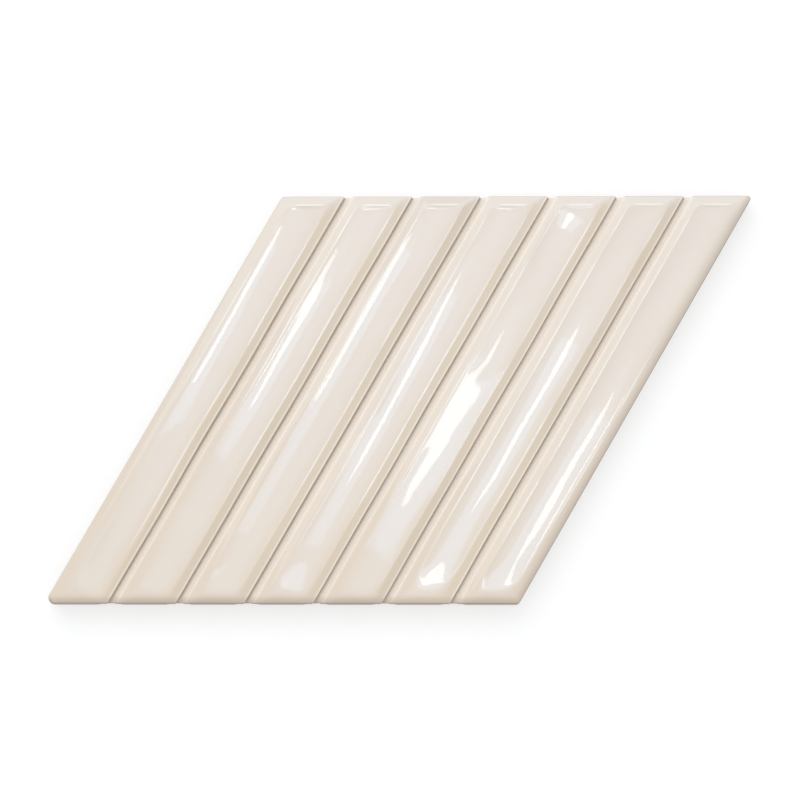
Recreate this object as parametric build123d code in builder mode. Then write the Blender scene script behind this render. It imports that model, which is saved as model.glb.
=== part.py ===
"""Diamond-shaped glazed ceramic wall tile with seven raised bars.

One pressed and fired piece. Its outline is a rhombus, and the bars run parallel to the
slanted sides, from the lower edge to the upper one. Each bar has sloping flanks and ends
that meet in mitred hips, a narrow raised rim, and a shallow dish inside the rim. Narrow
joints part the bars and run out over the ends of the tile.

Millimetres. The face looks along +Z, and the tile lies on its back at Z = 0. The origin
is the centre of the back, +X runs along the level edges and +Y towards the upper one.
"""

from build123d import *
from math import cos, floor, pi, radians, sin
import os

# Outline
side = 152.0  # each of the four equal sides
corner_angle = 60.0  # the two sharp corners
thickness = 9.0  # from the back to the rims of the bars
sharp_radius = 1.2  # upper right corner
blunt_radius = 1.5  # the two wide corners
worn_radius = 2.2  # lower left corner, rubbed down by handling

# Bars and the joints between them
bar_count = 7
joint_width = 2.4  # from lip to lip
joint_floor = 1.8
joint_depth = 1.3  # from the lips to the floor
flank_width = 2.8  # slope beside a joint, in plan
outer_flank_width = 3.4  # slope along the two slanted sides
end_flank_width = 3.1  # slope along the two level edges
flank_drop = 1.3  # from the rims to the lips

# Dish in the top of each bar
rim_width = 0.5
dish_depth = 0.4
dish_rows = 17  # control rows along a bar
dish_crowding = 0.85  # 0 for evenly spaced rows, towards 1 for tighter ends

# Rounded edges
rim_radius = 0.8
lip_radius = 0.5
floor_radius = 0.35
back_chamfer = 0.5

# Side walls, which lean out below the glazed edge
flare = 0.4
flare_bottom = 4.5
flare_top = 6.9

# Keying relief on the back
key_pitch = 12.0  # from rib to rib, square to the ribs
key_rib = 3.0
key_depth = 0.7
key_draft = 20.0  # slope of the pocket walls
key_border = 6.0  # least width of the flat band along the outline

hair = 0.001  # how far off a height may be when corners and faces are picked by it

# Worked out from the sizes above
lean_sin = sin(radians(corner_angle))
lean_cos = cos(radians(corner_angle))
breadth = side * lean_sin  # between parallel sides
half = breadth / 2
lip_height = thickness - flank_drop
floor_height = lip_height - joint_depth
joint_total = joint_width + 2 * flank_width
crown_width = (breadth - 2 * outer_flank_width - (bar_count - 1) * joint_total) / bar_count
bar_pitch = crown_width + joint_total
dish_width = crown_width - 2 * rim_width
dish_half_length = half - end_flank_width - rim_width
key_reach = (key_pitch - key_rib) / 2
key_count = floor((breadth - 2 * key_border + key_rib) / key_pitch)


def evenly(pitch, count):
    """Places with this pitch, as many on one side of the middle as on the other."""
    return [pitch * (place - (count - 1) / 2) for place in range(count)]


bar_places = evenly(bar_pitch, bar_count)
joint_places = evenly(bar_pitch, bar_count - 1)
key_places = evenly(key_pitch, key_count)

# Planes for the two sections, each set back far enough to clear the tile's corners. On the
# one square to the bars, x is the distance across them and y is the height.
across_bars = Plane(
    origin=(side * lean_cos, side * lean_sin, 0),
    x_dir=(lean_sin, -lean_cos, 0),
    z_dir=(-lean_cos, -lean_sin, 0),
)
along_bars = Plane.YZ.offset(-side)


def in_plan(across, up):
    """The X and Y of a point that lies this far across the bars and this far up the tile."""
    return ((across + lean_cos * up) / lean_sin, up)


def tile_section(flank):
    """Draws the section of a plain tile: flat back, leaning walls and a slope on each side."""
    Polygon(
        (flare - half + back_chamfer, 0),
        (half - flare - back_chamfer, 0),
        (half - flare, back_chamfer),
        (half - flare, flare_bottom),
        (half, flare_top),
        (half, lip_height),
        (half - flank, thickness),
        (flank - half, thickness),
        (-half, lip_height),
        (-half, flare_top),
        (flare - half, flare_bottom),
        (flare - half, back_chamfer),
        align=None,
    )


def round_corners(section, height, radius):
    """Rounds the corners of a section that lie at one height."""
    corners = section.vertices().filter_by_position(Axis.Y, height - hair, height + hair)
    fillet(corners, radius=radius)


# The dish of one bar. Its floor is one curved face, given by rows of three control points
# from rim to rim: the floor sags between the rims, and only its two end rows are level.
dish_points = []
for row in range(dish_rows):
    share = 2 * row / (dish_rows - 1) - 1
    row_up = dish_half_length * (share + dish_crowding * sin(pi * share) / pi)
    row_sag = 0 if abs(share) == 1 else 2 * dish_depth
    dish_points.append(
        [
            (*in_plan(-dish_width / 2, row_up), thickness),
            (*in_plan(0, row_up), thickness - row_sag),
            (*in_plan(dish_width / 2, row_up), thickness),
        ]
    )
with BuildPart() as dish:
    extrude(Face.make_bezier_surface(dish_points), amount=dish_depth, dir=(0, 0, 1))

# One pocket of the keying relief, which narrows as it goes into the back
with BuildPart() as key_pocket:
    with BuildSketch(Plane.XY):
        Polygon(
            in_plan(-key_reach, -key_reach),
            in_plan(key_reach, -key_reach),
            in_plan(key_reach, key_reach),
            in_plan(-key_reach, key_reach),
            align=None,
        )
    extrude(amount=key_depth, taper=key_draft)

with BuildPart() as wall_tile:
    # Across the bars: the tile's section, less the joints with the flanks beside them
    with BuildSketch(across_bars) as bars_section:
        tile_section(outer_flank_width)
        with GridLocations(bar_pitch, 0, bar_count - 1, 1):
            Polygon(
                (-joint_total / 2, thickness),
                (-joint_width / 2, lip_height),
                (-joint_floor / 2, floor_height),
                (joint_floor / 2, floor_height),
                (joint_width / 2, lip_height),
                (joint_total / 2, thickness),
                align=None,
                mode=Mode.SUBTRACT,
            )
        round_corners(bars_section, floor_height, floor_radius)
        round_corners(bars_section, lip_height, lip_radius)
    extrude(amount=2 * side)

    # Along the bars: what lies under the two sloping ends is kept, which mitres the corners
    with BuildSketch(along_bars) as end_section:
        tile_section(end_flank_width)
        round_corners(end_section, lip_height, lip_radius)
    extrude(amount=2 * side, mode=Mode.INTERSECT)

    # Outline seen from above, with its four corners rounded
    with BuildSketch(Plane.XY) as outline:
        Polygon(
            in_plan(-half, -half),
            in_plan(half, -half),
            in_plan(half, half),
            in_plan(-half, half),
            align=None,
        )
        fillet(outline.vertices().sort_by(Axis.X)[1:-1], radius=blunt_radius)
        fillet(outline.vertices().sort_by(Axis.X)[0], radius=worn_radius)
        fillet(outline.vertices().sort_by(Axis.X)[-1], radius=sharp_radius)
    extrude(amount=thickness, mode=Mode.INTERSECT)

    # The top edge of every bar
    crowns = wall_tile.faces().filter_by_position(Axis.Z, thickness - hair, thickness + hair)
    fillet(crowns.edges(), radius=rim_radius)

    # Each joint runs out over both ends through the leaning part of the wall
    with BuildSketch(Plane.XY.offset(flare_bottom)):
        for up in (-half, half):
            with Locations(*[in_plan(across, up) for across in joint_places]):
                Polygon(
                    in_plan(-joint_width / 2, -flare),
                    in_plan(joint_width / 2, -flare),
                    in_plan(joint_width / 2, flare),
                    in_plan(-joint_width / 2, flare),
                    align=None,
                )
    extrude(amount=lip_height - flare_bottom, mode=Mode.SUBTRACT)

    # The dishes, and the keying pockets in the back
    with Locations(*[in_plan(across, 0) for across in bar_places]):
        add(dish.part, mode=Mode.SUBTRACT)
    with Locations(*[in_plan(across, up) for across in key_places for up in key_places]):
        add(key_pocket.part, mode=Mode.SUBTRACT)

wall_tile.part.label = "wall_tile"
os.makedirs("parts", exist_ok=True)
export_step(wall_tile.part, "parts/wall_tile.step")
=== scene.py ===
"""Looks of the diamond wall tile: glossy ivory glaze on a pressed and fired body.

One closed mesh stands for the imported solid. It follows the same bars, flanks, dishes,
joints and back relief, with soft glazed edges and the unevenness of a hand-finished tile.
Sizes of the tile are in millimetres, and its mesh is made in metres. The patterns of its
material, the floor, the lamps and the camera's distance are in metres from the start.
"""

import math

import bpy
import numpy as np
from mathutils import Euler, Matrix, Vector


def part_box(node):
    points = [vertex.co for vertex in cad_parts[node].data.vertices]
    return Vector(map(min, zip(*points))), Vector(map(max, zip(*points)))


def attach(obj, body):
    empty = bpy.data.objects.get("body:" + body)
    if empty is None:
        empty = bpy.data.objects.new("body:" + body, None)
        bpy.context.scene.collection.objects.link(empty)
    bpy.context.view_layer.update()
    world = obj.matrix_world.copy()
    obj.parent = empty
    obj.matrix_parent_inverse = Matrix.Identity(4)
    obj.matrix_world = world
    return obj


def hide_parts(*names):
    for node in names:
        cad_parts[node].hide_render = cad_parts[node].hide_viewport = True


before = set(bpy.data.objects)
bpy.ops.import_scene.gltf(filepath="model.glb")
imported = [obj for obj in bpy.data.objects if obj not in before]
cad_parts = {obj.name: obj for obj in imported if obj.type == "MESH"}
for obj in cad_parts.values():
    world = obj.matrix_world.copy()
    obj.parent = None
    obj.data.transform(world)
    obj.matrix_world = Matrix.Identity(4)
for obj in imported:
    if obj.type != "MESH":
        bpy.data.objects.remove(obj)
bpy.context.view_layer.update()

MM = 0.001
HAIR = 1e-6  # how far off a place may be when it is compared

# Size of the tile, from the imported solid
low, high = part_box("wall_tile")
HALF = (high.y - low.y) / 2 / MM  # half the distance between parallel sides
THICKNESS = high.z / MM
LEAN = math.radians(60)

# Bars and joints
BAR_COUNT = 7
JOINT_WIDTH = 2.4
JOINT_DEPTH = 1.3
FLANK = 2.8
OUTER_FLANK = 3.4
END_FLANK = 3.1
FLANK_DROP = 1.3
LIP_HEIGHT = THICKNESS - FLANK_DROP
POOLING = 0.12  # glaze that has run down into the joints
FLOOR_HEIGHT = LIP_HEIGHT - JOINT_DEPTH + POOLING
CROWN = (2 * HALF - 2 * OUTER_FLANK - (BAR_COUNT - 1) * (JOINT_WIDTH + 2 * FLANK)) / BAR_COUNT
PITCH = CROWN + JOINT_WIDTH + 2 * FLANK
FACE_SHIFT = 0.3  # by which the bars lie to the right of the outline's middle
JOINT_SLANT = 0.45  # rise over run of the joint's floor, which is deepest at its left wall
LEFT_WALL = 6.0  # rise over run of the joint's left wall
RIGHT_WALL = 1.7
WALL_LIFT = 0.15  # how far above the lip the line of a wall passes

# The bars from left to right, as the hand-finished tile has them: depth of the dish, how much
# of its curve lies in the middle, its tilt to one side and how fast that grows along the bar,
# how steeply the bar climbs and how far it sags at a place along it, and that place
BARS = (
    (0.357, 1.0, -0.0178, 0.0009, -0.0036, -0.06, 35),
    (0.238, 1.0, -0.0286, 0.0, -0.0083, -0.214, 24),
    (0.238, 1.0, 0.0131, 0.0, 0.0214, -0.167, 31),
    (0.274, 1.0, 0.0, 0.00036, 0.0012, 0.571, 1),
    (0.131, 1.0, -0.0059, 0.0, -0.0059, -0.012, -11),
    (0.226, 0.9, 0.0, 0.0, 0.0190, 0.107, -7),
    (0.250, 0.88, 0.0107, 0.0, -0.0036, 0.06, -33),
)
DEPTH, MIDDLE, TILT, TWIST, CLIMB, SAG, PLACE = np.array(BARS).T
BAR_WAVE = 200.0  # length of the gentle wave of a bar

# Ends of the dishes
UPPER_COVE = 2.0  # length over which a dish rises to its upper end
LOWER_COVE = 12.0
UPPER_RISE = 1.0  # how steeply it rises there
LOWER_RISES = np.array((1.4, 1.4, 1.4, 1.15, 0.15, 1.65, 1.4))

# One bar's dish is nearly flat in its middle and has a dent near its upper end
FLAT_BAR = 4  # counted from 0
FLAT_PLACE = -4.0  # how far up the middle of the flat stretch lies
FLAT_REACH = (7.0, 16.0)  # half its length, and where the dish has its full depth again
FLATTER_BY = 0.06
DENT_DEPTH = 0.446
DENT_OFF = -1.5
DENT_WIDTH = 10.0
DENT_START = (30.0, 50.0)  # where it starts, and from where it is deepest
DENT_STOP = (53.6, 60.2)  # up to where it is deepest, and where it ends

# Another bar has a lump of thick glaze
LUMP_BAR = 1
LUMP_OFF = -3.0
LUMP_UP = 33.0
LUMP_HEIGHT = 0.036
LUMP_HALF_WIDTH = 3.0
LUMP_HALF_LENGTH = 9.0

# How softly one form goes over into the next
RIM_SOFTNESS = 0.16
LOWER_RIM_SOFTNESS = 0.4
LOWER_RIM_REACH = (-12.0, -4.0)  # from the lower edge
OUTER_RIM_SOFTNESS = 0.30  # along the right side of the tile
HIP_SOFTNESS = 1.1
RIGHT_LIP_SOFTNESS = 0.30
LEFT_LIP_SOFTNESS = 0.55
FLOOR_SOFTNESS = 0.45

# How much the slopes bulge, from 0 for flat
JOINT_BULGE = 0.10
SIDE_BULGE = 0.55
UPPER_BULGE = 0.10
LOWER_BULGE = 0.60

# Corner radii, by the signs of their place across the bars and up the tile
CORNER_RADII = {(-1, -1): 2.2, (1, 1): 1.0, (-1, 1): 1.5, (1, -1): 1.5}

# Side walls: inset from the outline and height, from the glazed edge down to the back
EDGE_INSET = 0.45
EDGE_REACH = HALF - EDGE_INSET
WALL_PROFILE = (
    (0.24, 7.76),
    (0.08, 7.55),
    (0.0, 7.25),
    (0.0, 6.9),
    (0.13, 6.1),
    (0.28, 5.2),
    (0.4, 4.5),
    (0.4, 2.6),
    (0.4, 0.6),
    (0.5, 0.2),
    (0.75, 0.02),
)
FLARE_BOTTOM = 4.5
STRETCH_BAND = 6.0  # width of the band along the outline that follows the walls' insets
RUN_OUT = 0.42  # how far the joints notch the outline
RUN_OUT_REACH = (-0.25, 0.25)
RUN_IN = 0.22  # how far the lower edge stands back beside them
RUN_IN_REACH = (2.4, 3.6)
RIND_BY_RING = (0.4, 1.0, 1.0, 0.6, 0.2)  # brown of the edges, on the first of the wall's rings: painted shade along the lower and right edges, and wear at the lower left corner
RIND_BAND = 2.0
RIND_CORNER = (-4.0, -1.0)  # from the lower left corner

# Keying relief of the back
BACK_INSET = 1.2
BACK_BAND = 3.0
KEY_PITCH = 12.0
KEY_RIB = 3.0
KEY_DEPTH = 0.7
KEY_SLOPE = 0.3
KEY_BORDER = 6.0
KEY_REACH = (KEY_PITCH - KEY_RIB) / 2
# Lines of the mesh beside the edges of a pocket, from its middle
KEY_MARKS = (KEY_REACH + 0.12, KEY_REACH - 0.04, KEY_REACH - KEY_SLOPE + 0.04, KEY_REACH - KEY_SLOPE - 0.2)

# Distances between the lines of the face's mesh
NEAR = 0.35  # half the width of a band with close lines
LIP_STEP = 0.12
RIM_STEP = 0.09
SLOPE_STEP = 0.5
DISH_STEP = 0.7
FLOOR_STEP = 0.2
EDGE_STEP = 0.15
END_SLOPE_STEP = 0.4
END_BAND = 2.5
END_BAND_STEP = 0.25
COVE_STEP = 0.6
LENGTH_STEP = 1.3

# Random waves: their height or share, seed, and shortest lengths up the tile and across it
WAVE_COUNT = 7
SWAY = (0.08, 11, 40, 60)  # of the bars to either side
DEPTH_DRIFT = (0.12, 47, 70, 25)  # of the depth of the dishes
BOTTOM_DRIFT = (0.25, 53, 60, 25)  # of the bottom of the dishes to either side
LONG_RIPPLE = (0.006, 23, 45, 14)  # of the glaze in the dishes
SHORT_RIPPLE = (0.0054, 29, 16, 6)
MILK_DRIFT = (0.4, 31, 30, 12)  # of the edge of the milky glaze
WARM_DRIFT = (6.0, 67, 60, 40)  # of the change to a warmer glaze
THIN_PATCHES = (0.35, 37, 25, 4)
LINE_DRIFT = (6.0, 59, 40, 25)  # of the ends of the pale lines
LINE_PATCHES = (0.45, 61, 16, 25)
BAR_APART = 40.0  # how far apart the bars lie in the waves that each has for itself
RIM_APART = 13.0

# Layers of colour, each from 0 to 1. A reach says where one starts and stops to change.
MILK_REACH = (-1.5, 3.4)  # in from the rims
UPPER_MILK = 0.4
UPPER_MILK_REACH = (-9.0, -4.0)  # from the upper edge
MILK_LOSS = 0.3  # share of the milkiness that is gone at the lower edge
UPPER_END_INSET = 0.3
UPPER_END_REACH = (-0.4, 0.4)
BESIDE_JOINT_REACH = (0.0, 0.6)
THIN_START = (-0.2, 0.6)  # past the right rim
THIN_STOP = (0.0, 0.3)  # past the right lip
THIN_FADE = (-2.3, -0.1)  # before it, where the thin glaze and its painted shade fade
THIN_LOSS = 0.85
RIGHT_EDGE = 0.6
RIGHT_EDGE_REACH = (0.3, 2.4)
LOWER_EDGE = 0.85
LOWER_EDGE_REACH = (0.3, 3.4)
# Painted shade along the lower edge of the face
RIND_ON_FACE = 0.8
RIND_ON_FACE_REACH = (0.45, 0.8)

# Painted highlights as pale lines on rims and lips, and the joints
LEFT_LINE_END = 10.0  # how far up the tile the line on the first bar's left rim ends
LEFT_LINE_STEP = 9.0  # how much lower it ends on each bar after it
RIGHT_LINE_END = -35.0
LINE_FADE = (-13.0, 13.0)
LINE_STRENGTH = 0.85
LEAST_LINE = 0.2
UPPER_LINE_LOSS = 0.8
UPPER_LINE_REACH = (-10.0, -4.0)  # from the upper edge
OUTER_LINE_REACH = (0.0, 25.0)  # where the line along the right side fades
END_LINE_REACH = (2.8, 4.6)  # half the length of the line along an upper end
RIM_LINE_OUT = 0.03
RIM_LINE_REACH = (0.08, 0.36)
LIP_LINE_OUT = 0.2
RIGHT_LIP_REACH = (0.1, 0.42)
LEFT_LIP_LINE = 0.9
LEFT_LIP_REACH = (0.2, 1.15)
CREASE_START = (0.0, 0.2)
CREASE_STOP = (0.32, 0.7)
JOINT_START = (0.0, 0.5)
JOINT_STOP = (-0.4, 0.1)
NO_JOINT = -1.0  # stands for the distance past a lip where no joint follows


def smooth_min(a, b, width):
    """The lower of two heights, with a soft change from one to the other."""
    share = np.clip(0.5 + 0.5 * (b - a) / width, 0, 1)
    return b * (1 - share) + a * share - width * share * (1 - share)


def smooth_max(a, b, width):
    """The higher of two heights, with a soft change from one to the other."""
    return -smooth_min(-a, -b, width)


def ramp(value, start, stop):
    """0 before start, 1 after stop, and a smooth rise between them."""
    share = np.clip((value - start) / (stop - start), 0, 1)
    return share * share * (3 - 2 * share)


def ramp_at(value, place, reach):
    """A ramp that starts and stops this far past a place."""
    return ramp(value, place + reach[0], place + reach[1])


def ripple(across, up, amount, seed, up_wave, across_wave):
    """Smooth random waves of about this amount."""
    chance = np.random.RandomState(seed)
    total = np.zeros(np.broadcast(across, up).shape)
    for _ in range(WAVE_COUNT):
        turns_across = chance.uniform(-1, 1) / across_wave
        turns_up = chance.uniform(-1, 1) / up_wave
        turns = turns_across * across + turns_up * up + chance.uniform()
        total = total + np.sin(2 * math.pi * turns)
    return amount * (total / math.sqrt(WAVE_COUNT))


def bar_centre(bar):
    """Place of a bar's middle across the bars."""
    return FACE_SHIFT + PITCH * (bar - (BAR_COUNT - 1) / 2)


def steps(start, stop, size):
    """Evenly spaced values from start up to, but not including, stop."""
    return list(np.linspace(start, stop, max(1, math.ceil((stop - start) / size)), endpoint=False))


def lines_across():
    """Places across the bars of the mesh's lines, close together at rims, lips and joints."""
    lines = []
    for bar in range(BAR_COUNT):
        is_first = bar == 0
        is_last = bar == BAR_COUNT - 1
        left_rim = bar_centre(bar) - CROWN / 2
        right_rim = bar_centre(bar) + CROWN / 2
        left_lip = -HALF if is_first else left_rim - FLANK
        right_lip = HALF if is_last else right_rim + FLANK
        start = left_lip + EDGE_INSET if is_first else left_lip - NEAR
        stop = right_lip - EDGE_INSET if is_last else right_lip + NEAR
        lines += steps(start, left_lip + 2 * NEAR, LIP_STEP)
        lines += steps(left_lip + 2 * NEAR, left_rim - NEAR, SLOPE_STEP)
        lines += steps(left_rim - NEAR, left_rim + NEAR, RIM_STEP)
        lines += steps(left_rim + NEAR, right_rim - NEAR, DISH_STEP)
        lines += steps(right_rim - NEAR, right_rim + NEAR, RIM_STEP)
        lines += steps(right_rim + NEAR, right_lip - 2 * NEAR, SLOPE_STEP)
        lines += steps(right_lip - 2 * NEAR, stop, LIP_STEP)
        if not is_last:
            lines += steps(stop, stop + JOINT_WIDTH - 2 * NEAR, FLOOR_STEP)
    return np.array(lines + [stop])


def lines_up():
    """Places up the tile of the mesh's lines, close together at both ends of the bars."""
    lines = steps(EDGE_INSET, 3 * NEAR, EDGE_STEP)
    lines += steps(3 * NEAR, END_FLANK - NEAR, END_SLOPE_STEP)
    lines += steps(END_FLANK - NEAR, END_FLANK + NEAR, RIM_STEP)
    lines += steps(END_FLANK + NEAR, END_FLANK + END_BAND, END_BAND_STEP)
    lines += steps(END_FLANK + END_BAND, END_FLANK + LOWER_COVE, COVE_STEP)
    lines += steps(END_FLANK + LOWER_COVE, HALF, LENGTH_STEP)
    lower = np.array(lines) - HALF
    return np.concatenate([lower, [0.0], -lower[::-1]])


def bank(inside, width, bulge, wave):
    """Height of a bulging slope, by the distance in from its lip."""
    share = inside / width
    between = np.clip(share, 0, 1)
    rise = between + bulge * between * (1 - between)
    rise = rise + np.minimum(share, 0) * (1 + bulge) + np.maximum(share - 1, 0) * (1 - bulge)
    return LIP_HEIGHT + (FLANK_DROP + wave) * rise


def flank_height(across, up, bar, off, past_lip, wave):
    """Height of the slopes below the rims, and of the joints beyond the lips."""
    flanks = bank(HALF - np.abs(up), END_FLANK, np.where(up > 0, UPPER_BULGE, LOWER_BULGE), wave)
    for side, outer_bar, steepness, lip_softness in (
        (-1, 0, RIGHT_WALL, LEFT_LIP_SOFTNESS),
        (1, BAR_COUNT - 1, LEFT_WALL, RIGHT_LIP_SOFTNESS),
    ):
        outer = bar == outer_bar
        width = np.where(outer, OUTER_FLANK - side * FACE_SHIFT, FLANK)
        inside = np.where(outer, HALF - side * across, CROWN / 2 + width - side * off)
        slope = bank(inside, width, np.where(outer, SIDE_BULGE, JOINT_BULGE), wave)
        wall = LIP_HEIGHT + steepness * inside + WALL_LIFT
        flanks = smooth_min(flanks, smooth_min(slope, wall, lip_softness), HIP_SOFTNESS)
    floor = FLOOR_HEIGHT + JOINT_SLANT * (past_lip - JOINT_WIDTH / 2)
    near_joint = np.abs(past_lip - JOINT_WIDTH / 2) < JOINT_WIDTH
    return smooth_max(flanks, np.where(near_joint, floor, 0), FLOOR_SOFTNESS)


def dish_height(across, up, bar, off, along, wave):
    """Height of the shallow trough in a bar's top, which rises to the rims and both ends."""
    flatter = FLATTER_BY * (1 - ramp(np.abs(up - FLAT_PLACE), *FLAT_REACH))
    depth = DEPTH[bar] - np.where(bar == FLAT_BAR, flatter, 0)
    depth = depth * (1 + ripple(bar * BAR_APART, up, *DEPTH_DRIFT))
    share = (off + ripple(bar * BAR_APART, up, *BOTTOM_DRIFT)) / (CROWN / 2)
    sideways = MIDDLE[bar] * share**2 + (1 - MIDDLE[bar]) * share**6

    # The long lower coves rise straight along the bar, and the short upper ones square to
    # the end
    into_dish = HALF - np.abs(up) - END_FLANK + np.where(up < 0, math.cos(LEAN), 0) * off
    cove = np.where(up > 0, UPPER_COVE, LOWER_COVE)
    rise = np.where(up > 0, UPPER_RISE, LOWER_RISES[bar])
    endways = rise * np.clip(1 - into_dish / cove, 0, None) ** 2
    dish = THICKNESS + wave - depth + depth * np.sqrt(sideways**2 + endways**2)
    dish = dish + (TILT[bar] + TWIST[bar] * (along - PLACE[bar])) * off

    level = along * math.sin(LEAN)
    dent = DENT_DEPTH * ramp(level, *DENT_START) * (1 - ramp(level, *DENT_STOP))
    dish = dish - np.where(bar == FLAT_BAR, dent * np.exp(-((off - DENT_OFF) / DENT_WIDTH) ** 2), 0)
    dish = dish + ripple(across, up, *LONG_RIPPLE) + ripple(across, up, *SHORT_RIPPLE)
    spread = ((off - LUMP_OFF) / LUMP_HALF_WIDTH) ** 2 + ((up - LUMP_UP) / LUMP_HALF_LENGTH) ** 2
    return dish + np.where(bar == LUMP_BAR, LUMP_HEIGHT * np.exp(-spread), 0)


def glazed_face(across, up):
    """Height of the face at each point, and how much of each layer of colour lies there."""
    bent = across + ripple(across, up, *SWAY)
    nearest = np.round((bent - FACE_SHIFT) / PITCH + (BAR_COUNT - 1) / 2)
    bar = np.clip(nearest, 0, BAR_COUNT - 1).astype(int)
    off = bent - bar_centre(bar)
    along = (up + math.cos(LEAN) * off) / math.sin(LEAN)
    past_lip = (bent - FACE_SHIFT) % PITCH - CROWN / 2 - FLANK  # how far right of a bar's right lip
    past_lip = np.where(bar == np.where(off > 0, BAR_COUNT - 1, 0), NO_JOINT, past_lip)

    turn = 2 * math.pi * (along - PLACE[bar]) / BAR_WAVE
    wave = CLIMB[bar] * BAR_WAVE / (2 * math.pi) * np.sin(turn) - SAG[bar] / 2 * (1 + np.cos(turn))
    flanks = flank_height(across, up, bar, off, past_lip, wave)
    dish = dish_height(across, up, bar, off, along, wave)

    outer_right = (bar == BAR_COUNT - 1) & (off > 0)
    lower = ramp_at(-up, HALF, LOWER_RIM_REACH)
    softness = RIM_SOFTNESS + (LOWER_RIM_SOFTNESS - RIM_SOFTNESS) * lower
    softness = np.where(outer_right, np.maximum(softness, OUTER_RIM_SOFTNESS), softness)
    return smooth_min(flanks, dish, softness), paint_layers(across, up, bar, off, past_lip)


def rim_highlights(up, bar, off):
    """A painted highlight: a pale line along the rims, except low down and along the right side."""
    line_end = np.where(off < 0, LEFT_LINE_END - LEFT_LINE_STEP * bar, RIGHT_LINE_END)
    side_line = ramp(up - line_end + ripple(bar * BAR_APART, up, *LINE_DRIFT), *LINE_FADE)
    side_line = side_line * (1 - UPPER_LINE_LOSS * ramp_at(up, HALF, UPPER_LINE_REACH))
    patches = ripple(bar * BAR_APART + np.sign(off) * RIM_APART, up, *LINE_PATCHES)
    side_line = side_line * np.clip(LINE_STRENGTH + patches, LEAST_LINE, 1)
    outer_right = (bar == BAR_COUNT - 1) & (off > 0)
    side_line = np.where(outer_right, side_line * (1 - ramp(up, *OUTER_LINE_REACH)), side_line)
    end_line = (up > 0) * (1 - ramp(np.abs(off), *END_LINE_REACH))

    from_side = CROWN / 2 - np.abs(off)
    from_end = HALF - np.abs(up) - END_FLANK
    from_rim = np.abs(np.minimum(from_side, from_end) + RIM_LINE_OUT)
    return (1 - ramp(from_rim, *RIM_LINE_REACH)) * np.where(from_side < from_end, side_line, end_line)


def paint_layers(across, up, bar, off, past_lip):
    """How much of each layer of colour lies at each point, from 0 to 1."""
    from_end = HALF - np.abs(up)
    inside_rim = np.minimum(CROWN / 2 - np.abs(off), from_end - END_FLANK)

    # Warmer towards the lower edge, milky in the dishes where the glaze lies thick, and paler
    # along the upper edge
    warm = ramp(-up + ripple(across, up, *WARM_DRIFT), -HALF, HALF)
    milk = ramp(inside_rim + ripple(across, up, *MILK_DRIFT), *MILK_REACH)
    milk = np.maximum(milk, UPPER_MILK * ramp_at(up, HALF, UPPER_MILK_REACH))
    milk = milk * (1 - MILK_LOSS * warm)

    # Painted reflection: a greyer tint on the slopes at the upper ends
    from_joint = np.abs(past_lip - JOINT_WIDTH / 2)
    upper_end_reflection = ramp(END_FLANK - UPPER_END_INSET - from_end, *UPPER_END_REACH) * (up > 0)
    upper_end_reflection = upper_end_reflection * ramp_at(from_joint, JOINT_WIDTH / 2, BESIDE_JOINT_REACH)

    # Thin glaze and painted shade right of the rims, and painted shade at the right and lower edges
    thin_and_shaded = ramp_at(off, CROWN / 2, THIN_START) * (1 - ramp(past_lip, *THIN_STOP))
    outer_right = (bar == BAR_COUNT - 1) & (off > 0)
    thin_and_shaded = np.where(outer_right, 0, thin_and_shaded * (1 - THIN_LOSS * ramp(past_lip, *THIN_FADE)))
    thin_and_shaded = np.clip(thin_and_shaded * (1 + ripple(across, up, *THIN_PATCHES)), 0, 1)
    right_edge_shade = RIGHT_EDGE * (1 - ramp(HALF - across, *RIGHT_EDGE_REACH))
    lower_edge_shade = LOWER_EDGE * (1 - ramp(HALF + up, *LOWER_EDGE_REACH))

    # Painted highlights on the lips beside the joints, painted shade in the dark crease under the
    # right lip of each bar, and a joint that is painted paler against its shade, and is duller
    right_lip = 1 - ramp(np.abs(past_lip + LIP_LINE_OUT), *RIGHT_LIP_REACH)
    left_lip = 1 - ramp(np.abs(past_lip - JOINT_WIDTH + LIP_LINE_OUT), *LEFT_LIP_REACH)
    return {
        "warm": warm,
        "milk": milk,
        "thin_and_shaded": thin_and_shaded,
        "upper_end_reflection": upper_end_reflection,
        "edge_shade": np.maximum(right_edge_shade, lower_edge_shade),
        "rim_highlight": rim_highlights(up, bar, off),
        "lip": right_lip + LEFT_LIP_LINE * left_lip,
        # painted shade in the crease under the right lip of each bar
        "crease_shade": ramp(past_lip, *CREASE_START) * (1 - ramp(past_lip, *CREASE_STOP)),
        # the joint is painted paler, as light against the shade inside it, and is duller
        "lit_dull_joint": ramp(past_lip, *JOINT_START) * (1 - ramp_at(past_lip, JOINT_WIDTH, JOINT_STOP)),
        # painted shade along the lower edge
        "rind_and_shade": RIND_ON_FACE * (1 - ramp(HALF + up, *RIND_ON_FACE_REACH)),
    }


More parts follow.
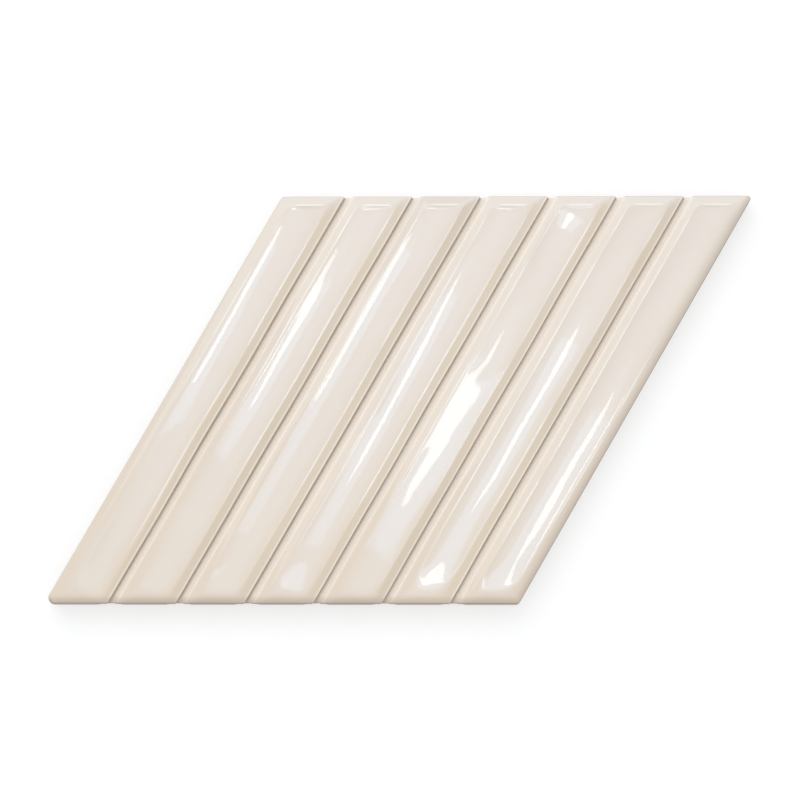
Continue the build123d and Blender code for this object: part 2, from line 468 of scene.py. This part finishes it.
def plan(across, up):
    """X and Y of points of the tile, with the corners of its outline rounded."""
    x = (across + math.cos(LEAN) * up) / math.sin(LEAN)
    y = up + 0 * x
    for (side, end), radius in CORNER_RADII.items():
        to_side = HALF - side * across
        to_end = HALF - end * up
        inset = np.minimum(to_side, to_end)
        along = (np.maximum(to_side, to_end) - inset) / math.sin(LEAN)
        angle = LEAN if side == end else math.pi - LEAN
        reach = (radius - inset) / math.tan(angle / 2)
        moved = (inset < radius) & (along < reach)
        turn = (math.pi - angle) / 2 * (1 - along / np.where(moved, reach, 1))
        on_end = to_end <= to_side
        # Outward normal and direction away from the corner, of the side that the point is on
        normal_x = np.where(on_end, 0, side * math.sin(LEAN))
        normal_y = np.where(on_end, end, -side * math.cos(LEAN))
        away_x = np.where(on_end, -side, -end * math.cos(LEAN))
        away_y = np.where(on_end, 0, -end * math.sin(LEAN))
        centre_up = end * (HALF - radius)
        centre_x = (side * (HALF - radius) + math.cos(LEAN) * centre_up) / math.sin(LEAN)
        span = radius - inset
        round_x = centre_x + span * (normal_x * np.cos(turn) - away_x * np.sin(turn))
        round_y = centre_up + span * (normal_y * np.cos(turn) - away_y * np.sin(turn))
        x = np.where(moved, round_x, x)
        y = np.where(moved, round_y, y)
    return x, y


def points_at(across, up, height):
    """Points of the tile in millimetres, one in each row."""
    x, y = plan(across, up)
    return np.stack([x, y, height], -1).reshape(-1, 3)


def grid_faces(rows, columns, first, flip):
    """Quads of a grid whose points are numbered row by row from first."""
    faces = []
    for row in range(rows - 1):
        for column in range(columns - 1):
            start = first + row * columns + column
            quad = (start, start + 1, start + columns + 1, start + columns)
            faces.append(quad[::-1] if flip else quad)
    return faces


def edge_loop(rows, columns):
    """Numbers of a grid's outer points, once round."""
    bottom = [(0, c) for c in range(columns - 1)]
    right = [(r, columns - 1) for r in range(rows - 1)]
    top = [(rows - 1, c) for c in range(columns - 1, 0, -1)]
    left = [(r, 0) for r in range(rows - 1, 0, -1)]
    return np.array([r * columns + c for r, c in bottom + right + top + left])


def round_place(across, up, reach):
    """How far round the outline each point of a loop lies, from 0 to 4."""
    share_across = (across / reach + 1) / 2
    share_up = (up / reach + 1) / 2
    at_bottom = up <= -reach + HAIR
    at_top = up >= reach - HAIR
    at_right = across >= reach - HAIR
    at_left = across <= -reach + HAIR
    place = np.where(at_bottom, share_across, 0)
    place = np.where(at_right & ~at_bottom, 1 + share_up, place)
    place = np.where(at_top & ~at_right, 3 - share_across, place)
    return np.where(at_left & ~at_bottom & ~at_top, 4 - share_up, place)


def band_faces(upper, lower):
    """Quads between two loops with the same number of points."""
    following = np.roll(np.arange(len(upper)), -1)
    return [(upper[here], lower[here], lower[there], upper[there]) for here, there in enumerate(following)]


def zip_loops(outer, outer_place, inner, inner_place):
    """Triangles between two loops with different numbers of points."""
    faces = []
    i = j = 0
    while i < len(outer) or j < len(inner):
        next_outer = outer_place[i + 1] if i + 1 < len(outer) else 4.0
        next_inner = inner_place[j + 1] if j + 1 < len(inner) else 4.0
        here = (outer[i % len(outer)], inner[j % len(inner)])
        if j >= len(inner) or (i < len(outer) and next_outer <= next_inner):
            faces.append((*here, outer[(i + 1) % len(outer)]))
            i += 1
        else:
            faces.append((*here, inner[(j + 1) % len(inner)]))
            j += 1
    return faces


def wall_rings(across, up, height):
    """Rings of points down the side walls, below the points of the face's edge."""
    full_height = LIP_HEIGHT + FLANK_DROP * EDGE_INSET / END_FLANK
    drop = (height - FLARE_BOTTOM) / (full_height - FLARE_BOTTOM)
    joint_off = np.abs(((across - FACE_SHIFT) / PITCH) % 1 - 0.5) * PITCH
    open_joint = ramp_at(-joint_off, -JOINT_WIDTH / 2, RUN_OUT_REACH)
    beside_joint = (1 - ramp(joint_off, *RUN_IN_REACH)) * (up < 0)
    at_end = np.abs(up) > EDGE_REACH - HAIR
    among_bars = np.abs(across) < HALF - PITCH / 2
    run_out = np.maximum(RUN_OUT * open_joint, RUN_IN * beside_joint) * at_end * among_bars
    side_share = ramp(np.abs(across), HALF - STRETCH_BAND, EDGE_REACH)
    end_share = ramp(np.abs(up), HALF - STRETCH_BAND, EDGE_REACH)
    rings = []
    for inset, ring_height in WALL_PROFILE:
        stretch = EDGE_INSET - np.maximum(inset, run_out)
        z = np.full(len(across), ring_height)
        if ring_height > FLARE_BOTTOM:
            z = FLARE_BOTTOM + (z - FLARE_BOTTOM) * drop
        ring_across = across + np.sign(across) * stretch * side_share
        ring_up = np.sign(up) * (np.abs(up) + stretch * end_share)
        rings.append(points_at(ring_across, ring_up, z))
    return rings


def back_lines():
    """Places of the lines of the back's mesh, at the edges of its keying pockets, and of the
    pockets' middles."""
    count = math.floor((2 * HALF - 2 * KEY_BORDER + KEY_RIB) / KEY_PITCH)
    centres = [KEY_PITCH * (place - (count - 1) / 2) for place in range(count)]
    lines = [sign * (HALF - inset) for inset in (BACK_INSET, BACK_BAND) for sign in (-1, 1)]
    for centre in centres:
        lines += [centre + sign * mark for mark in KEY_MARKS for sign in (-1, 1)]
    return np.array(sorted(lines)), np.array(centres)


def back_height(across, up, centres):
    """Height of the back: 0 on its ribs, more in the pockets."""
    off_across = np.abs(across[..., None] - centres).min(-1)
    off_up = np.abs(up[..., None] - centres).min(-1)
    inside = KEY_REACH - np.maximum(off_across, off_up)
    return KEY_DEPTH * ramp(inside, 0, KEY_SLOPE)


def shade_and_wear_share(across, up):
    """How dark the edge is: painted shade along the lower and right edges, and wear at the lower left
    corner.
    """
    lower = ramp(-up, EDGE_REACH - RIND_BAND, EDGE_REACH)
    right = ramp(across, EDGE_REACH - RIND_BAND, EDGE_REACH)
    corner = ramp_at(-across - up, 2 * EDGE_REACH, RIND_CORNER)
    return np.maximum(np.maximum(lower, right), corner)


def build_tile():
    """The whole tile as one closed mesh."""
    across, up = np.meshgrid(lines_across(), lines_up())
    height, layers = glazed_face(across, up)
    points = [points_at(across, up, height)]
    faces = grid_faces(*across.shape, 0, False)

    # Side walls, ring by ring from the face's edge down
    ring = edge_loop(*across.shape)
    edge_across = across.ravel()[ring]
    edge_up = up.ravel()[ring]
    total = len(points[0])
    for ring_points in wall_rings(edge_across, edge_up, height.ravel()[ring]):
        points.append(ring_points)
        next_ring = total + np.arange(len(ring_points))
        faces += band_faces(ring, next_ring)
        ring = next_ring
        total += len(ring_points)

    # Back, with its keying relief
    lines, centres = back_lines()
    back_across, back_up = np.meshgrid(lines, lines)
    points.append(points_at(back_across, back_up, back_height(back_across, back_up, centres)))
    faces += grid_faces(*back_across.shape, total, True)
    back_loop = edge_loop(*back_across.shape)
    outer_place = round_place(edge_across, edge_up, EDGE_REACH)
    inner_across = back_across.ravel()[back_loop]
    inner_up = back_up.ravel()[back_loop]
    inner_place = round_place(inner_across, inner_up, HALF - BACK_INSET)
    faces += zip_loops(ring, outer_place, total + back_loop, inner_place)

    shade_and_wear = shade_and_wear_share(edge_across, edge_up)
    layers["rind_and_shade"] = np.concatenate([layers["rind_and_shade"].ravel()] + [share * shade_and_wear for share in RIND_BY_RING])

    mesh = bpy.data.meshes.new("glazed_tile")
    corners = [tuple(map(int, face)) for face in faces]
    mesh.from_pydata((np.concatenate(points) * MM).tolist(), [], corners)
    for name, values in layers.items():
        whole = np.zeros(len(mesh.vertices), np.float32)
        whole[: values.size] = values.ravel()
        mesh.attributes.new(name, "FLOAT", "POINT").data.foreach_set("value", whole)
    mesh.shade_smooth()
    mesh.validate()
    made = bpy.data.objects.new("glazed_tile", mesh)
    bpy.context.scene.collection.objects.link(made)
    return made


def material(name):
    """A new node material: its tree and its surface shader."""
    made = bpy.data.materials.new(name)
    made.use_nodes = True
    tree = made.node_tree
    return made, tree, tree.nodes["Principled BSDF"]


def node(tree, kind, **settings):
    """A new node of this kind, with its settings."""
    made = tree.nodes.new(kind)
    for key, value in settings.items():
        setattr(made, key, value)
    return made


def set_input(tree, socket, value):
    """Gives a socket a fixed value, or links another socket to it."""
    if isinstance(value, bpy.types.NodeSocket):
        tree.links.new(value, socket)
    else:
        socket.default_value = value


def mix_colour(tree, factor, first, second):
    """A colour mix. factor is a socket; first and second are colours or sockets."""
    mix = node(tree, "ShaderNodeMix", data_type="RGBA")
    tree.links.new(factor, mix.inputs["Factor"])
    for socket, value in ((mix.inputs[6], first), (mix.inputs[7], second)):
        set_input(tree, socket, (*value, 1) if isinstance(value, tuple) else value)
    return mix.outputs[2]


def map_range(tree, value, reach, low_end=0.0, high_end=1.0):
    """A smooth change from low_end to high_end as a socket's value passes this reach."""
    made = node(tree, "ShaderNodeMapRange", interpolation_type="SMOOTHSTEP")
    tree.links.new(value, made.inputs["Value"])
    made.inputs["From Min"].default_value, made.inputs["From Max"].default_value = reach
    made.inputs["To Min"].default_value = low_end
    made.inputs["To Max"].default_value = high_end
    return made.outputs["Result"]


def noise(tree, coordinates, scale, detail, roughness=0.5):
    """Procedural noise, mostly between 0.3 and 0.7."""
    made = node(tree, "ShaderNodeTexNoise")
    tree.links.new(coordinates, made.inputs["Vector"])
    made.inputs["Scale"].default_value = scale
    made.inputs["Detail"].default_value = detail
    made.inputs["Roughness"].default_value = roughness
    return made.outputs["Fac"]


def calc(tree, operation, first, second):
    """The result of an operation on two numbers or sockets."""
    made = node(tree, "ShaderNodeMath", operation=operation)
    set_input(tree, made.inputs[0], first)
    set_input(tree, made.inputs[1], second)
    return made.outputs[0]


def layer(tree, name):
    """A painted layer of the mesh."""
    return node(tree, "ShaderNodeAttribute", attribute_name=name).outputs["Fac"]


# Colours of the glaze
BEIGE = (0.785, 0.697, 0.606)
WARM_BEIGE = (0.785, 0.676, 0.556)
MILKY = (0.826, 0.748, 0.672)

# Colours of the layers that lie over it, from the lowest up
OVERLAYS = {
    # thin glaze and painted shade on the flanks right of the rims
    "thin_and_shaded": (0.780, 0.660, 0.510),
    # painted reflection on the slopes at the upper ends
    "upper_end_reflection": (0.770, 0.704, 0.636),
    # painted light in the joints, against their shade
    "lit_dull_joint": (0.860, 0.775, 0.680),
    # painted highlight along the rims
    "rim_highlight": (0.930, 0.885, 0.825),
    # painted highlight on the lips
    "lip": (0.930, 0.845, 0.745),
    # painted shade in the crease under each bar's right lip
    "crease_shade": (0.500, 0.410, 0.305),
    # painted shade along the right and lower edges
    "edge_shade": (0.600, 0.490, 0.390),
    # painted shade along the lower and right edges, and wear at the lower left corner
    "rind_and_shade": (0.330, 0.260, 0.210),
}

# Colours of the bare body
BISCUIT = (0.660, 0.560, 0.450)
BISCUIT_DARK = (0.560, 0.455, 0.350)

# Patterns of the material, with a noise's scale, detail and roughness
NOISE_MIDDLE = 0.5
CLOUDS = (60, 3)
CLOUD_SHARE = 0.3
GRAIN = (1800, 4, 0.65)
GRAIN_REACH = (0.35, 0.65)
GLAZE_END = (0.0046, 0.0050)  # heights on the walls between which the glaze ends
GLAZE_END_WAVES = (220, 3)
GLAZE_END_DRIFT = 0.0022
BODY_ROUGHNESS = 0.75
GLAZE_ROUGHNESS = 0.03
JOINT_ROUGHNESS = 0.35
FINE_WAVES = (260, 2)
FINE_WAVE_STRENGTH = 0.15
FINE_WAVE_HEIGHT = 0.00004
GRAIN_STRENGTH = 0.6
GRAIN_HEIGHT = 0.00012


def centred_noise(tree, coordinates, pattern, amount):
    """Noise about 0, times an amount."""
    about_zero = calc(tree, "SUBTRACT", noise(tree, coordinates, *pattern), NOISE_MIDDLE)
    return calc(tree, "MULTIPLY", about_zero, amount)


def glaze_material():
    """Ivory glaze on the face, which ends unevenly on the side walls, and bare body below."""
    made, tree, shader = material("ivory_glaze")
    place = node(tree, "ShaderNodeTexCoord").outputs["Object"]
    height = node(tree, "ShaderNodeSeparateXYZ")
    tree.links.new(place, height.inputs[0])

    milk = calc(tree, "ADD", layer(tree, "milk"), centred_noise(tree, place, CLOUDS, CLOUD_SHARE))
    beige = mix_colour(tree, layer(tree, "warm"), BEIGE, WARM_BEIGE)
    colour = mix_colour(tree, milk, beige, MILKY)
    for name, over in OVERLAYS.items():
        colour = mix_colour(tree, layer(tree, name), colour, over)

    grain = noise(tree, place, *GRAIN)
    bare = mix_colour(tree, map_range(tree, grain, GRAIN_REACH), BISCUIT_DARK, BISCUIT)

    # The glaze ends at an uneven line on the walls
    drift = centred_noise(tree, place, GLAZE_END_WAVES, GLAZE_END_DRIFT)
    glazed = map_range(tree, calc(tree, "ADD", height.outputs["Z"], drift), GLAZE_END)
    tree.links.new(mix_colour(tree, glazed, bare, colour), shader.inputs["Base Color"])
    roughness = map_range(tree, glazed, (0, 1), BODY_ROUGHNESS, GLAZE_ROUGHNESS)
    in_joint = calc(tree, "MULTIPLY", layer(tree, "lit_dull_joint"), JOINT_ROUGHNESS)
    tree.links.new(calc(tree, "MAXIMUM", roughness, in_joint), shader.inputs["Roughness"])

    # Fine unevenness of the glaze, and the grain of the body
    glaze_bump = node(tree, "ShaderNodeBump")
    glaze_bump.inputs["Strength"].default_value = FINE_WAVE_STRENGTH
    glaze_bump.inputs["Distance"].default_value = FINE_WAVE_HEIGHT
    tree.links.new(noise(tree, place, *FINE_WAVES), glaze_bump.inputs["Height"])
    body_bump = node(tree, "ShaderNodeBump")
    tree.links.new(map_range(tree, glazed, (0, 1), GRAIN_STRENGTH, 0), body_bump.inputs["Strength"])
    body_bump.inputs["Distance"].default_value = GRAIN_HEIGHT
    tree.links.new(grain, body_bump.inputs["Height"])
    tree.links.new(glaze_bump.outputs["Normal"], body_bump.inputs["Normal"])
    tree.links.new(body_bump.outputs["Normal"], shader.inputs["Normal"])
    return made


tile = build_tile()
tile.data.materials.append(glaze_material())
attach(tile, "root")
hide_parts("wall_tile")

# Floor, white to the camera but for the tile's shadow
FLOOR_SIZE = 6.0
FLOOR_GREY = 0.5
FLOOR_LIFT = 0.55  # light that the floor shows to the camera on top of what falls on it


def seen_ray(tree):
    """1 for what the camera sees, directly or in a gloss or glass, and 0 for lighting."""
    path = node(tree, "ShaderNodeLightPath").outputs
    seen = calc(tree, "MAXIMUM", path["Is Camera Ray"], path["Is Glossy Ray"])
    return calc(tree, "MAXIMUM", seen, path["Is Transmission Ray"])


def build_floor():
    """A plain pale floor, which isn't part of the object."""
    bpy.ops.mesh.primitive_plane_add(size=FLOOR_SIZE)
    floor = bpy.context.object
    floor.name = "floor"
    made, tree, shader = material("floor")
    shader.inputs["Base Color"].default_value = (FLOOR_GREY, FLOOR_GREY, FLOOR_GREY, 1)
    shader.inputs["Roughness"].default_value = 1.0
    shader.inputs["Specular IOR Level"].default_value = 0.0
    shader.inputs["Emission Color"].default_value = (1, 1, 1, 1)
    lift = calc(tree, "MULTIPLY", seen_ray(tree), FLOOR_LIFT)
    tree.links.new(lift, shader.inputs["Emission Strength"])
    floor.data.materials.append(made)


build_floor()

# Light: a white world, a large soft key lamp beyond the upper edge, and five lamps over the
# tile whose reflections are its highlights: a small bright core, two dim bluish lamps around
# it, and two wide faint glows. The overhead ones have a place, a size square to the bars and
# along them, a radiance, a shape and a colour.
WORLD_LIGHT = 0.752
BARS_SQUARE = LEAN - math.pi / 2  # direction square to the bars, in plan
WHITE = (1.0, 1.0, 1.0)
COOL = (0.55, 1.0, 1.55)
KEY_PLACE = (-0.32, 0.90, 0.90)
KEY_SIZE = (1.6, 1.0)
KEY_RADIANCE = 1.15
KEY_COLOUR = (0.95, 1.0, 1.06)
OVERHEAD_LAMPS = {
    "core": ((0.0614, 0.0579, 1.200), (0.0546, 0.1606), 4.9, "ELLIPSE", WHITE),
    "dim_long": ((0.0572, 0.0497, 1.244), (0.2117, 0.2443), 0.5, "ELLIPSE", COOL),
    "dim_low": ((0.0452, 0.0292, 1.266), (0.2132, 0.1968), 1.1, "RECTANGLE", COOL),
    "glow_small": ((0.0083, 0.0513, 1.289), (0.4294, 0.4955), 0.3, "ELLIPSE", WHITE),
    "glow_large": ((-0.0420, 0.0528, 1.336), (0.6366, 0.7036), 0.3, "ELLIPSE", WHITE),
}


def build_world():
    """A world that looks white, also in reflections, and lights the tile a little less."""
    world = bpy.data.worlds.new("studio")
    bpy.context.scene.world = world
    world.use_nodes = True
    tree = world.node_tree
    backdrop = tree.nodes["Background"]
    backdrop.inputs["Color"].default_value = (1, 1, 1, 1)
    to_white = calc(tree, "MULTIPLY", seen_ray(tree), 1 - WORLD_LIGHT)
    tree.links.new(calc(tree, "ADD", to_white, WORLD_LIGHT), backdrop.inputs["Strength"])


def lamp(name, place, size, radiance, shape, colour, aim, spin=0.0):
    """An area lamp turned towards aim. A radiance of 1 looks white."""
    data = bpy.data.lights.new(name, "AREA")
    data.shape = shape
    data.size, data.size_y = size
    data.color = colour
    area = size[0] * size[1] * (math.pi / 4 if shape == "ELLIPSE" else 1)
    data.energy = radiance * math.pi * area
    made = bpy.data.objects.new(name, data)
    bpy.context.scene.collection.objects.link(made)
    made.location = place
    facing = (Vector(place) - Vector(aim)).to_track_quat("Z", "Y")
    made.rotation_euler = (facing.to_matrix() @ Euler((0, 0, spin)).to_matrix()).to_euler()
    made.visible_camera = False


build_world()
face_middle = (0, 0, THICKNESS * MM)
lamp("key", KEY_PLACE, KEY_SIZE, KEY_RADIANCE, "RECTANGLE", KEY_COLOUR, face_middle)
for name, (place, *looks) in OVERHEAD_LAMPS.items():
    lamp(name, place, *looks, aim=(*place[:2], 0), spin=BARS_SQUARE)

# Camera: nearly straight above, a little towards the tile's lower edge
CAMERA_DISTANCE = 0.8
CAMERA_TURN = (math.radians(4.16), math.radians(0.89), math.radians(0.035))
CAMERA_AIM = Vector((0.19, -0.20, 7.2)) * MM
LENS = 112.0
SENSOR_WIDTH = 36.0

camera_data = bpy.data.cameras.new("camera")
camera_data.lens = LENS
camera_data.sensor_width = SENSOR_WIDTH
camera = bpy.data.objects.new("camera", camera_data)
bpy.context.scene.collection.objects.link(camera)
camera.rotation_euler = CAMERA_TURN
camera.location = CAMERA_AIM + Euler(CAMERA_TURN).to_matrix() @ Vector((0, 0, CAMERA_DISTANCE))
bpy.context.scene.camera = camera
bpy.context.scene.view_settings.view_transform = "Standard"
